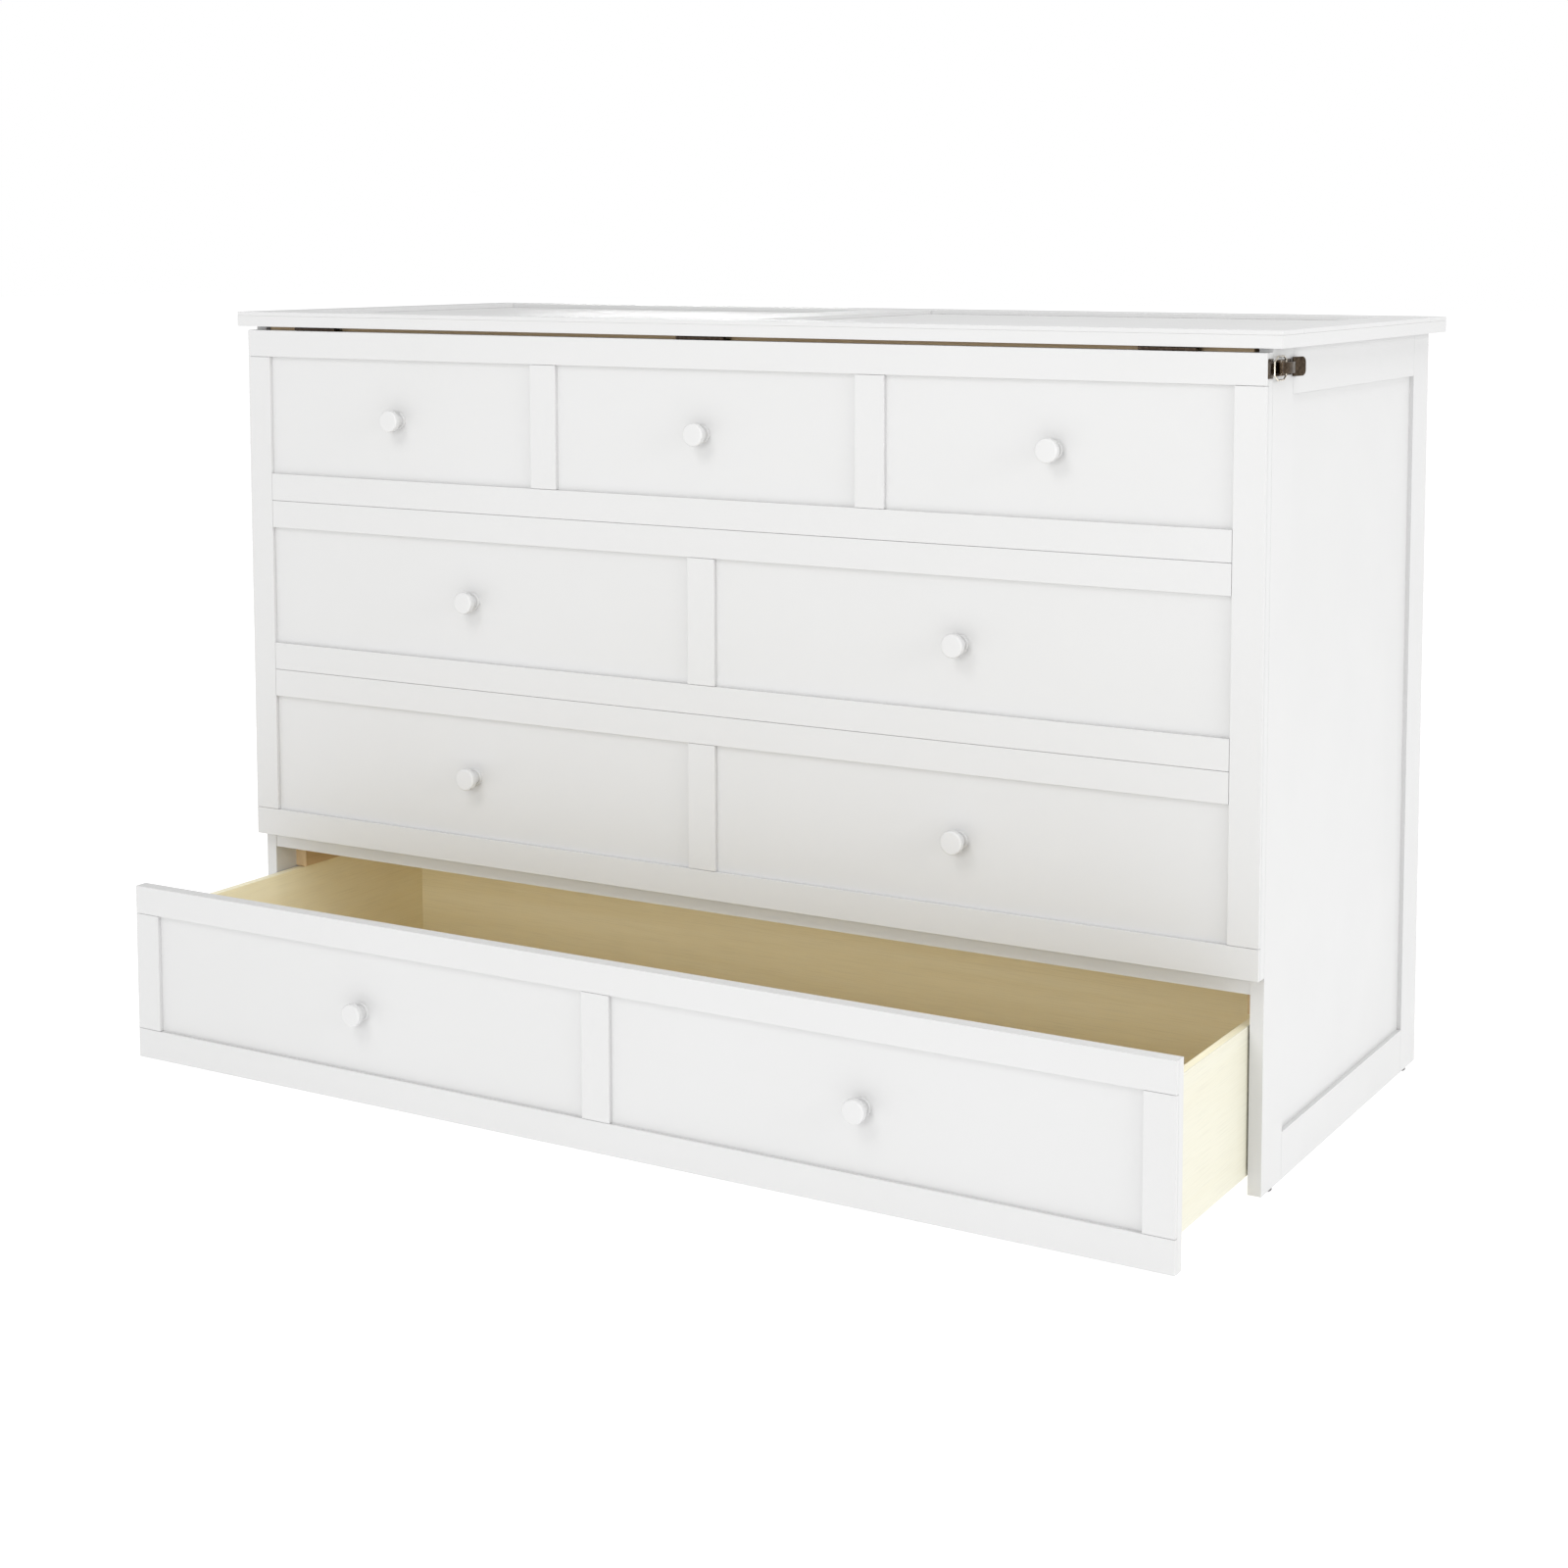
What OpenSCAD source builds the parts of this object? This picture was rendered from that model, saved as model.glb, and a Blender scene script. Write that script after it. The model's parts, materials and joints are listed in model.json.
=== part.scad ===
// Cabinet murphy bed: a free-standing chest whose lid and front fold out into a bed platform.
// Millimetres, +Z up, front towards -Y, floor at z = 0, drawer shown pulled out.

/* [Carcass] */
// Width over the two cabinet sides
cabinet_w = 1630; // [1500:1:1800]
// Depth of the cabinet sides
cabinet_d = 628; // [620:1:660]
// Thickness of the cabinet sides
side_t = 18; // [16:1:22]
// Height of the cabinet sides
side_h = 1060.5; // [1058:0.5:1064]
// Height of the floor glides
glide_h = 5; // [4:1:8]
// Height of the bed deck above the floor
deck_top = 284; // [282:1:286]
// Depth of each recess behind the raised frames
recess = 6; // [4:1:8]
// Width of the front stile of each cabinet side
side_front_stile = 71.5; // [50:0.5:90]
// Width of the back stile of each cabinet side
side_back_stile = 66; // [50:1:90]
// Height of the bottom rail of each cabinet side
side_bottom_rail = 62; // [50:1:80]
// Height of the top rail of each cabinet side
side_top_rail = 59; // [50:1:80]

/* [Lid] */
// Width of the lid
lid_w = 1669; // [1640:1:1840]
// Thickness of the lid
lid_t = 22; // [20:1:26]
// Gap between the lid and the cabinet sides
lid_gap = 0.5; // [0.4:0.1:1]
// How far the lid passes the folding front
lid_nose = 1; // [0.5:0.5:4]
// How far the lid passes the back of the cabinet sides
lid_tail = 18.5; // [18.5:0.5:22]
// Width of the raised border on the lid
lid_border = 75; // [50:1:110]
// Width of the raised centre strip on the lid
lid_mullion = 90; // [50:1:120]
// Thickness of the slats under the lid
lid_slat_t = 20; // [16:1:20]
// Number of slats under the lid
lid_slats_n = 7; // [5:1:7]

/* [Folding front] */
// Thickness of the folding front
front_t = 20; // [18:1:20]
// Gap between the folding front and the lid, filled by the hinges
lid_hinge_gap = 5.5; // [5.5:0.5:6]
// Gap between the folding front and the cabinet sides
front_gap = 0.4; // [0.4:0.1:0.6]
// Height of the top rail
front_top_rail = 40; // [36:1:44]
// Height of every rail between two rows
front_rail_h = 41; // [36:0.5:42]
// Height of every row of imitation drawers
front_row_h = 177; // [170:1:177]
// Width of the outer stiles
front_stile = 42; // [36:1:60]
// Distance from the middle to each mullion of the top row
top_mullion_x = 265; // [200:1:320]
// Width of the mullions
front_mullion = 44; // [36:1:60]

/* [Drawer] */
// How far the drawer is pulled out
drawer_out = 259; // [220:1:300]
// Height of the drawer front
drawer_front_h = 255; // [250:1:256]
// Clearance under the drawer front
drawer_floor_gap = 3; // [2:1:5]
// Thickness of the drawer sides
drawer_side_t = 12; // [10:1:15]
// Height of the drawer sides
drawer_side_h = 193; // [150:1:193]
// Height of the drawer sides above the floor
drawer_side_z = 27.5; // [27.5:0.5:28]
// Depth of the drawer box
drawer_depth = 605; // [500:1:605]
// Radius of the caster wheels
wheel_r = 14; // [13:0.5:14]

/* [Knobs] */
// Radius of a knob's head
knob_r = 16; // [12:0.5:18]
// How far a knob stands out of the recess
knob_reach = 26; // [22:1:28]

/* [Mattress] */
// Width of the folded mattress
mattress_w = 1524; // [1400:1:1524]
// Thickness of one section
section_t = 144; // [120:1:144]
// Length of one section
section_l = 677; // [600:1:677]

/* [Foot leg] */
// Width of the leg board
leg_w = 1560; // [1200:1:1570]
// Thickness of the leg board
leg_t = 16; // [14:1:16]

/* [Hidden] */
$fn = 48;
part_gap = 1;
overlap = 0.01;
joint_line = 0.4;
lid_z = glide_h + side_h + lid_gap;
lid_board_t = lid_t - recess;
front_top = lid_z - lid_hinge_gap;
front_bottom = deck_top + 0.6;
front_y = -front_gap - front_t;
front_board_t = front_t - recess;
front_recess_y = front_y + recess;
inner_x = cabinet_w / 2 - side_t;
lid_front_y = front_y - lid_nose;
lid_back_y = cabinet_d + lid_tail;
carcass_top = glide_h + side_h;

// Rows of the folding front, from the top down: lowest height of each recess
row_z = [for (i = [0:2]) front_top - front_top_rail - front_row_h * (i + 1) - 2 * front_rail_h * i];
row_knob_x = (front_mullion / 2 + cabinet_w / 2 - front_stile) / 2;
top_knob_x = (top_mullion_x + front_mullion / 2 + cabinet_w / 2 - front_stile) / 2;

// Cabinet inside
back_t = 6;
back_y = cabinet_d - side_t;
back_bottom = 10;
back_top = 790;
back_rail_h = 40;
front_rail_y = 1;
front_rail_d = 44;
deck_rail_h = 23;
rear_rail_h = 44;
slat_t = 18;
ledger_w = 20;
ledger_z = 222;
ledger_screw_y = [95, 310, 525];
beam_x = 265;
beam_w = 40;
beam_y = 160;
deck_slats_n = 6;
deck_slat_w = 78;
glide_r = 8;
glide_inset = 40;
glide_chamfer = 1.5;

// Drawer
drawer_shift = -drawer_out;
drawer_face_y = drawer_shift + front_y;
drawer_recess_y = drawer_face_y + recess;
drawer_back_face_y = drawer_shift - front_gap;
drawer_top_rail = 40.5;
drawer_bottom_rail = 43;
drawer_box_x = inner_x - 2.5;
drawer_bottom_t = 6;
drawer_bottom_z = drawer_side_z + 5.5;
drawer_end_t = 12;
drawer_recess_h = drawer_front_h - drawer_top_rail - drawer_bottom_rail;
drawer_knob_z = drawer_floor_gap + drawer_bottom_rail + drawer_recess_h / 2;

// Casters
caster_x = 560;
caster_front_y = drawer_shift + 80;
caster_rear_y = drawer_shift + drawer_depth - 85;
wheel_w = 14;
wheel_rim = 3;
wheel_dish = 1.5;
axle_r = 3;
axle_head = 1;
cheek_t = 2.5;
cheek_r = 7;
cheek_gap = 0.6;
caster_plate_t = 3;
caster_plate = [36, 44];
running = 0.05;

// Hinges: barrel radius, pin radius, leaf thickness, width
hinge_w = 77;
leaf_t = 1.5;
base_barrel_r = 3;
base_pin_r = 1.5;
small_barrel_r = 2.4;
small_pin_r = 1.1;
barrel_clear = 0.3;
base_axis = [0, deck_top];
lid_axis = [front_y + 2.4, lid_z - lid_hinge_gap / 2];
leg_axis = [lid_back_y + 1.7, lid_z - 3];
base_hinge_x = [-600, 0, 600];
lid_hinge_x = [-684, 0, 684];
leg_hinge_x = [-520, 0, 520];
base_leaf_len = 30;
lid_leaf_len = 16.5;
leg_leaf_len = 20;
base_panel_offset = front_gap + leaf_t;
lid_lower_offset = leaf_t - lid_hinge_gap / 2;
lid_upper_offset = lid_hinge_gap / 2;
leg_upper_offset = leg_axis[0] - lid_back_y;
leg_face_y = lid_back_y - leaf_t;
leg_lower_offset = leg_face_y + leaf_t - leg_axis[0];
screw_spread = 27;
screw_r = 1.4;
screw_head_r = 2.9;
screw_head_h = 1.5;
screw_l = 10;
ledger_screw_l = 28;
hinge_screw_place = 0.62;
hinge_seat = 0.6;

// Leg board
leg_y = leg_face_y - leg_t;
leg_top = lid_z - 4;
leg_glide_r = 6.5;
leg_glide_h = 4.5;
leg_h = 260.5;
leg_bottom = leg_top - leg_h;
leg_glide_x = [-700, 0, 700];

// Mattress
mattress_y = 5;
mattress_gap = 1;

// Latch, drawn for the right side
latch_z = 1041;
latch_plate_t = 1.6;
latch_y = [4, 64];
latch_plate_h = 20;
ear_z = [7.4, 9];
ear_y = [6.7, 17.3];
lever_axis = [5.5, 12];
lever_pin_r = 1.25;
lever_w = 14;
lever_skin = 1.6;
lever_end_y = 62;
lever_low_x = 2.2;
lever_arc_r = 48;
lever_arc_x = -36;
lever_knuckle_r = 3;
tab_h = 24;
tab_l = 24;
tab_corner = 7;
tab_tilt = 20;
tab_start = [2.6, 60];
bail_axis = [5.5, 30];
bail_r = 1.1;
bail_bend = 0.08;
bail_path = [[30, 5.8], [30, 9.9], [22, 14.5], [2, 14.5], [-10, 8]];
strike_y = [-17.5, -3];
ridge_y = [-7, -5.4];
ridge_top = 4;
ridge_w = 13;
strike_margin = 2;
latch_screw_places = [[47, 0], [57, 0]];
strike_screw_places = [[-12.5, -7], [-12.5, 7]];
latch_pin_end = 0.6;

// The part stands with the middle of its footprint at the origin
drawer_knob_tip = drawer_recess_y - knob_reach;
footprint_back = leg_axis[0] + small_barrel_r;
centre_y = (drawer_knob_tip + footprint_back) / 2;

// ---------- helpers ----------

// Puts the middle of the footprint at the origin
module placed() {
  translate([0, -centre_y, 0]) children();
}

// A box between two corners
module block(low, high) {
  translate(low) cube(high - low);
}

// The children and their mirror image in the middle plane
module both_sides() {
  children();
  mirror([1, 0, 0]) children();
}

module left_side() {
  mirror([1, 0, 0]) children();
}

// A rod along X, centred on x
module rod_x(x, y, z, r, length) {
  translate([x - length / 2, y, z]) rotate([0, 90, 0]) cylinder(r = r, h = length);
}

// A round wire between two points of a plane of constant x
module wire(x, a, b, r) {
  turn = atan2(b[1] - a[1], b[0] - a[0]);
  translate([x, a[0], a[1]]) rotate([turn - 90, 0, 0]) cylinder(r = r, h = norm(b - a));
}

// A countersunk screw: the top of its head at the origin, its shank along -Z
module wood_screw(length = screw_l) {
  translate([0, 0, -screw_head_h]) cylinder(r1 = screw_r, r2 = screw_head_r, h = screw_head_h);
  translate([0, 0, -length]) cylinder(r = screw_r, h = length - screw_head_h + overlap);
}

// ---------- hinges ----------
// A hinge lies with its axis along X. Its leaf runs along +Y, with its upper face at the offset.

function knuckle_w() = (hinge_w - 4 * barrel_clear) / 5;

module hinge_screws(len) {
  for (x = [-screw_spread, 0, screw_spread]) translate([x, len * hinge_screw_place, 0]) wood_screw();
}

module hinge_leaf(barrel_r, pin_r, offset, len, knuckles) {
  difference() {
    union() {
      block([-hinge_w / 2, barrel_r + barrel_clear, offset - leaf_t], [hinge_w / 2, len, offset]);
      for (i = knuckles) {
        x = -hinge_w / 2 + i * (knuckle_w() + barrel_clear);
        translate([x, 0, 0]) rotate([0, 90, 0]) cylinder(r = barrel_r, h = knuckle_w());
        block([x, 0, offset - leaf_t], [x + knuckle_w(), barrel_r + barrel_clear + 1, offset]);
      }
    }
    rod_x(0, 0, 0, pin_r, hinge_w + 2);
    translate([0, 0, offset]) hinge_screws(len);
  }
}

module hinge_pins(xs, axis, pin_r) {
  for (x = xs) rod_x(x, axis[0], axis[1], pin_r, hinge_w);
}

// Copies the children to every hinge, turned about X
module at_hinges(xs, axis, turn) {
  for (x = xs) translate([x, axis[0], axis[1]]) rotate([turn, 0, 0]) children();
}

module base_hinge_seats() {
  at_hinges(base_hinge_x, base_axis, 0)
    block([-hinge_w / 2 - part_gap, -base_barrel_r - part_gap, -base_barrel_r - hinge_seat],
          [hinge_w / 2 + part_gap, base_barrel_r + hinge_seat, base_barrel_r + 2 * part_gap]);
}

module base_fixed_screws() {
  at_hinges(base_hinge_x, base_axis, 0) hinge_screws(base_leaf_len);
}

module base_moving_screws() {
  at_hinges(base_hinge_x, base_axis, 90) translate([0, 0, base_panel_offset]) mirror([0, 0, 1])
    translate([0, 0, leaf_t]) hinge_screws(base_leaf_len);
}

module lid_lower_screws() {
  at_hinges(lid_hinge_x, lid_axis, 0) translate([0, 0, lid_lower_offset]) hinge_screws(lid_leaf_len);
}

module lid_upper_screws() {
  at_hinges(lid_hinge_x, lid_axis, 0) translate([0, 0, lid_upper_offset - leaf_t]) mirror([0, 0, 1])
    hinge_screws(lid_leaf_len);
}

module leg_upper_screws() {
  at_hinges(leg_hinge_x, leg_axis, 90) translate([0, 0, leg_upper_offset - leaf_t]) mirror([0, 0, 1])
    hinge_screws(leg_leaf_len);
}

module leg_lower_screws() {
  at_hinges(leg_hinge_x, leg_axis, -90) translate([0, 0, leg_lower_offset]) hinge_screws(leg_leaf_len);
}

// ---------- cabinet ----------

module side_frame() {
  x = [cabinet_w / 2 - side_t, cabinet_w / 2];
  top = carcass_top;
  rail_y = [side_front_stile + joint_line, cabinet_d - side_back_stile - joint_line];
  difference() {
    block([x[0], 0, glide_h], [x[1], side_front_stile, top]);
    latch_base_screws();
  }
  block([x[0], cabinet_d - side_back_stile, glide_h], [x[1], cabinet_d, top]);
  block([x[0], rail_y[0], glide_h], [x[1], rail_y[1], glide_h + side_bottom_rail]);
  block([x[0], rail_y[0], top - side_top_rail], [x[1], rail_y[1], top]);
}

module side_panel() {
  difference() {
    block([cabinet_w / 2 - side_t, side_front_stile, glide_h + side_bottom_rail],
          [cabinet_w / 2 - recess, cabinet_d - side_back_stile, carcass_top - side_top_rail]);
    ledger_screws();
  }
}

module left_side_frame() {
  color("white") placed() left_side() side_frame();
}

module right_side_frame() {
  color("white") placed() side_frame();
}

module left_side_panel() {
  color("white") placed() left_side() side_panel();
}

module right_side_panel() {
  color("white") placed() side_panel();
}

module back_panel() {
  color("white") placed()
    block([-inner_x, back_y, back_bottom], [inner_x, back_y + back_t, back_top]);
}

module back_rails() {
  color("white") placed() {
    block([-inner_x, back_y + back_t, back_top - back_rail_h], [inner_x, cabinet_d, back_top]);
    block([-inner_x, back_y - front_rail_d, deck_top - rear_rail_h], [inner_x, back_y, deck_top]);
  }
}

module front_rail() {
  color("white") placed() difference() {
    block([-inner_x, front_rail_y, deck_top - deck_rail_h],
          [inner_x, front_rail_y + front_rail_d, deck_top]);
    base_hinge_seats();
    at_hinges(base_hinge_x, base_axis, 0)
      block([-hinge_w / 2, 0, -leaf_t], [hinge_w / 2, base_leaf_len, 1]);
    base_fixed_screws();
  }
}

// Through the right ledger into the cabinet side
module ledger_screws() {
  for (y = ledger_screw_y) translate([inner_x - ledger_w, y, (ledger_z + deck_top - slat_t) / 2])
    rotate([0, -90, 0]) wood_screw(ledger_screw_l);
}

module side_ledgers() {
  color("burlywood") placed() both_sides() difference() {
    block([inner_x - ledger_w, front_rail_y + front_rail_d, ledger_z],
          [inner_x, back_y - front_rail_d, deck_top - slat_t]);
    ledger_screws();
  }
}

module centre_beams() {
  color("burlywood") placed() both_sides()
    block([beam_x - beam_w / 2, beam_y, ledger_z],
          [beam_x + beam_w / 2, back_y - front_rail_d, deck_top - slat_t]);
}

module deck_slats() {
  start = front_rail_y + front_rail_d + part_gap;
  pitch = (back_y - front_rail_d - part_gap - start - deck_slat_w) / (deck_slats_n - 1);
  color("burlywood") placed() for (i = [0:deck_slats_n - 1])
    block([-inner_x + part_gap, start + i * pitch, deck_top - slat_t],
          [inner_x - part_gap, start + i * pitch + deck_slat_w, deck_top]);
}

module floor_glides() {
  color("dimgray") placed() both_sides() for (y = [glide_inset, cabinet_d - glide_inset])
    translate([cabinet_w / 2 - side_t / 2, y, 0]) {
      cylinder(r1 = glide_r - glide_chamfer, r2 = glide_r, h = glide_chamfer);
      translate([0, 0, glide_chamfer]) cylinder(r = glide_r, h = glide_h - glide_chamfer);
    }
}

module base_hinge_leaves() {
  color("darkslategray") placed() at_hinges(base_hinge_x, base_axis, 0)
    hinge_leaf(base_barrel_r, base_pin_r, 0, base_leaf_len, [0, 2, 4]);
}

module base_hinge_pins() {
  color("gray") placed() hinge_pins(base_hinge_x, base_axis, base_pin_r);
}

module cabinet_screws() {
  color("gray") placed() {
    base_fixed_screws();
    both_sides() {
      ledger_screws();
      latch_base_screws();
    }
  }
}

// ---------- mattress ----------

module mattress_section(i) {
  y = mattress_y + i * (section_t + mattress_gap);
  color("whitesmoke") placed()
    block([-mattress_w / 2, y, deck_top], [mattress_w / 2, y + section_t, deck_top + section_l]);
}

module mattress_front_section() {
  mattress_section(0);
}

module mattress_middle_section() {
  mattress_section(1);
}

module mattress_rear_section() {
  mattress_section(2);
}

// ---------- folding front ----------

module front_board() {
  color("white") placed() difference() {
    block([-cabinet_w / 2, front_recess_y, front_bottom], [cabinet_w / 2, -front_gap, front_top]);
    base_hinge_seats();
    at_hinges(base_hinge_x, base_axis, 90)
      block([-hinge_w / 2, 0, 0], [hinge_w / 2, base_leaf_len, base_panel_offset]);
    base_moving_screws();
    front_knob_places() knob_screw();
    lid_lower_screws();
    both_sides() strike_screws();
  }
}

// Raised strips lie on the face of a board
module strip(x, z) {
  block([x[0], front_y, z[0]], [x[1], front_recess_y, z[1]]);
}

module front_rails() {
  half = cabinet_w / 2;
  inner = half - front_stile - joint_line;
  color("white") placed() difference() {
    union() {
      strip([-half, half], [front_top - front_top_rail, front_top]);
      for (i = [0:1]) {
        strip([-inner, inner], [row_z[i] - front_rail_h + joint_line / 2, row_z[i]]);
        strip([-inner, inner],
              [row_z[i] - 2 * front_rail_h, row_z[i] - front_rail_h - joint_line / 2]);
      }
      strip([-half, half], [front_bottom, row_z[2]]);
    }
    lid_lower_screws();
    both_sides() strike_screws();
  }
}

module front_stiles() {
  color("white") placed() both_sides()
    strip([cabinet_w / 2 - front_stile, cabinet_w / 2],
          [row_z[2] + joint_line, front_top - front_top_rail - joint_line]);
}

module front_mullions() {
  half = front_mullion / 2;
  color("white") placed() {
    both_sides() strip([top_mullion_x - half, top_mullion_x + half],
                       [row_z[0] + joint_line, row_z[0] + front_row_h - joint_line]);
    for (i = [1:2]) strip([-half, half], [row_z[i] + joint_line, row_z[i] + front_row_h - joint_line]);
  }
}

// ---------- knobs ----------

knob_neck_r = 9.5;
knob_base_r = 12.5;
knob_base_t = 3.5;
knob_base_round = 1.5;
knob_head_t = 10;
knob_round = 2.5;
knob_screw_r = 2;
knob_screw_depth = 14;
knob_screw_head_r = 4;
knob_screw_head_h = 2.2;

// A knob whose foot is at the origin, standing out along -Y
module knob() {
  neck = knob_reach - knob_head_t;
  rotate([90, 0, 0]) difference() {
    rotate_extrude() {
      difference() {
        union() {
          square([knob_base_r, knob_base_t - knob_base_round]);
          square([knob_base_r - knob_base_round, knob_base_t]);
          square([knob_neck_r, knob_reach - knob_head_t / 2]);
          translate([0, neck]) square([knob_r - knob_round, knob_head_t]);
          translate([0, neck + knob_round]) square([knob_r, knob_head_t - 2 * knob_round]);
          for (z = [neck + knob_round, knob_reach - knob_round])
            translate([knob_r - knob_round, z]) circle(r = knob_round);
          translate([knob_base_r - knob_base_round, knob_base_t - knob_base_round])
            circle(r = knob_base_round);
        }
        translate([-2 * knob_r, -knob_r]) square([2 * knob_r, knob_reach + 2 * knob_r]);
      }
    }
    translate([0, 0, -overlap]) cylinder(r = knob_screw_r, h = knob_screw_depth);
  }
}

// The screw of a knob whose foot is at the origin, from behind the board that carries it
module knob_screw() {
  head_z = knob_screw_head_h - front_board_t;
  rotate([90, 0, 0]) {
    translate([0, 0, -front_board_t])
      cylinder(r1 = knob_screw_head_r, r2 = knob_screw_r, h = knob_screw_head_h);
    translate([0, 0, head_z - overlap]) cylinder(r = knob_screw_r, h = knob_screw_depth - 1 - head_z);
  }
}

module front_knob_places() {
  for (x = [-top_knob_x, 0, top_knob_x])
    translate([x, front_recess_y, row_z[0] + front_row_h / 2]) children();
  for (i = [1:2]) for (x = [-row_knob_x, row_knob_x])
    translate([x, front_recess_y, row_z[i] + front_row_h / 2]) children();
}

module drawer_knob_places() {
  for (x = [-row_knob_x, row_knob_x])
    translate([x, drawer_recess_y, drawer_knob_z]) children();
}

module front_knobs() {
  color("white") placed() front_knob_places() knob();
}

module front_knob_screws() {
  color("silver") placed() front_knob_places() knob_screw();
}

module panel_hinge_leaves() {
  color("darkslategray") placed() at_hinges(base_hinge_x, base_axis, 90) difference() {
    hinge_leaf(base_barrel_r, base_pin_r + running, base_panel_offset, base_leaf_len, [1, 3]);
    translate([0, 0, base_panel_offset - leaf_t]) mirror([0, 0, 1]) hinge_screws(base_leaf_len);
  }
}

module lid_hinge_lower_leaves() {
  color("#4a3a2c") placed() at_hinges(lid_hinge_x, lid_axis, 0)
    hinge_leaf(small_barrel_r, small_pin_r, lid_lower_offset, lid_leaf_len, [0, 2, 4]);
}

module lid_hinge_pins() {
  color("#5a4a3a") placed() hinge_pins(lid_hinge_x, lid_axis, small_pin_r);
}

module front_screws() {
  color("#5a4a3a") placed() {
    base_moving_screws();
    lid_lower_screws();
    both_sides() strike_screws();
  }
}

// ---------- lid ----------

module lid_board() {
  color("white") placed() difference() {
    block([-lid_w / 2, lid_front_y, lid_z], [lid_w / 2, lid_back_y, lid_z + lid_board_t]);
    lid_upper_screws();
    leg_upper_screws();
  }
}

module lid_strip(x, y) {
  block([x[0], y[0], lid_z + lid_board_t], [x[1], y[1], lid_z + lid_t]);
}

module lid_frame() {
  half = lid_w / 2;
  front = lid_front_y + lid_border;
  back = lid_back_y - lid_border;
  color("white") placed() difference() {
    union() {
      lid_strip([-half, half], [lid_front_y, front]);
      lid_strip([-half, half], [back, lid_back_y]);
      both_sides() lid_strip([half - lid_border, half], [front + joint_line, back - joint_line]);
      lid_strip([-lid_mullion / 2, lid_mullion / 2], [front + joint_line, back - joint_line]);
    }
    leg_upper_screws();
  }
}

lid_slat_w = 74;
lid_slat_x = inner_x - 7;
lid_slat_y = [2, back_y - 4];

module lid_slats() {
  pitch = (lid_slat_y[1] - lid_slat_y[0] - lid_slat_w) / (lid_slats_n - 1);
  color("burlywood") placed() for (i = [0:lid_slats_n - 1])
    block([-lid_slat_x, lid_slat_y[0] + i * pitch, lid_z - lid_slat_t],
          [lid_slat_x, lid_slat_y[0] + i * pitch + lid_slat_w, lid_z]);
}

module lid_hinge_upper_leaves() {
  color("#4a3a2c") placed() at_hinges(lid_hinge_x, lid_axis, 0) difference() {
    hinge_leaf(small_barrel_r, small_pin_r + running, lid_upper_offset, lid_leaf_len, [1, 3]);
    translate([0, 0, lid_upper_offset - leaf_t]) mirror([0, 0, 1]) hinge_screws(lid_leaf_len);
  }
}

module leg_hinge_upper_leaves() {
  color("#4a3a2c") placed() at_hinges(leg_hinge_x, leg_axis, 90) difference() {
    hinge_leaf(small_barrel_r, small_pin_r, leg_upper_offset, leg_leaf_len, [0, 2, 4]);
    translate([0, 0, leg_upper_offset - leaf_t]) mirror([0, 0, 1]) hinge_screws(leg_leaf_len);
  }
}

module leg_hinge_pins() {
  color("#5a4a3a") placed() hinge_pins(leg_hinge_x, leg_axis, small_pin_r);
}

module lid_screws() {
  color("#5a4a3a") placed() {
    lid_upper_screws();
    leg_upper_screws();
  }
}

// ---------- foot leg ----------

module leg_board() {
  color("white") placed() difference() {
    block([-leg_w / 2, leg_y, leg_bottom], [leg_w / 2, leg_face_y, leg_top]);
    leg_lower_screws();
  }
}

module leg_hinge_lower_leaves() {
  color("#4a3a2c") placed() at_hinges(leg_hinge_x, leg_axis, -90)
    hinge_leaf(small_barrel_r, small_pin_r + running, leg_lower_offset, leg_leaf_len, [1, 3]);
}

module leg_screws() {
  color("#5a4a3a") placed() leg_lower_screws();
}

module leg_glides() {
  color("dimgray") placed() for (x = leg_glide_x)
    translate([x, leg_y + leg_t / 2, leg_bottom - leg_glide_h]) cylinder(r = leg_glide_r, h = leg_glide_h);
}

// ---------- drawer ----------

module drawer_front_board() {
  color("white") placed() difference() {
    block([-cabinet_w / 2, drawer_recess_y, drawer_floor_gap],
          [cabinet_w / 2, drawer_back_face_y, drawer_floor_gap + drawer_front_h]);
    drawer_knob_places() knob_screw();
  }
}

module drawer_strip(x, z) {
  block([x[0], drawer_face_y, z[0]], [x[1], drawer_recess_y, z[1]]);
}

module drawer_front_frame() {
  half = cabinet_w / 2;
  low = drawer_floor_gap + drawer_bottom_rail;
  high = drawer_floor_gap + drawer_front_h - drawer_top_rail;
  color("white") placed() {
    drawer_strip([-half, half], [drawer_floor_gap, low]);
    drawer_strip([-half, half], [high, drawer_floor_gap + drawer_front_h]);
    both_sides() drawer_strip([half - front_stile, half], [low + joint_line, high - joint_line]);
    drawer_strip([-front_mullion / 2, front_mullion / 2], [low + joint_line, high - joint_line]);
  }
}

drawer_y = [drawer_back_face_y, drawer_back_face_y + drawer_depth];
drawer_top = drawer_side_z + drawer_side_h;

module drawer_sides() {
  color("wheat") placed() both_sides()
    block([drawer_box_x - drawer_side_t, drawer_y[0], drawer_side_z],
          [drawer_box_x, drawer_y[1], drawer_top]);
}

module drawer_box_front() {
  color("wheat") placed() block(
    [-drawer_box_x + drawer_side_t, drawer_y[0], drawer_bottom_z + drawer_bottom_t],
    [drawer_box_x - drawer_side_t, drawer_y[0] + drawer_end_t, drawer_top]);
}

module drawer_back() {
  color("wheat") placed() block(
    [-drawer_box_x + drawer_side_t, drawer_y[1] - drawer_end_t, drawer_bottom_z + drawer_bottom_t],
    [drawer_box_x - drawer_side_t, drawer_y[1], drawer_top]);
}

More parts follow.
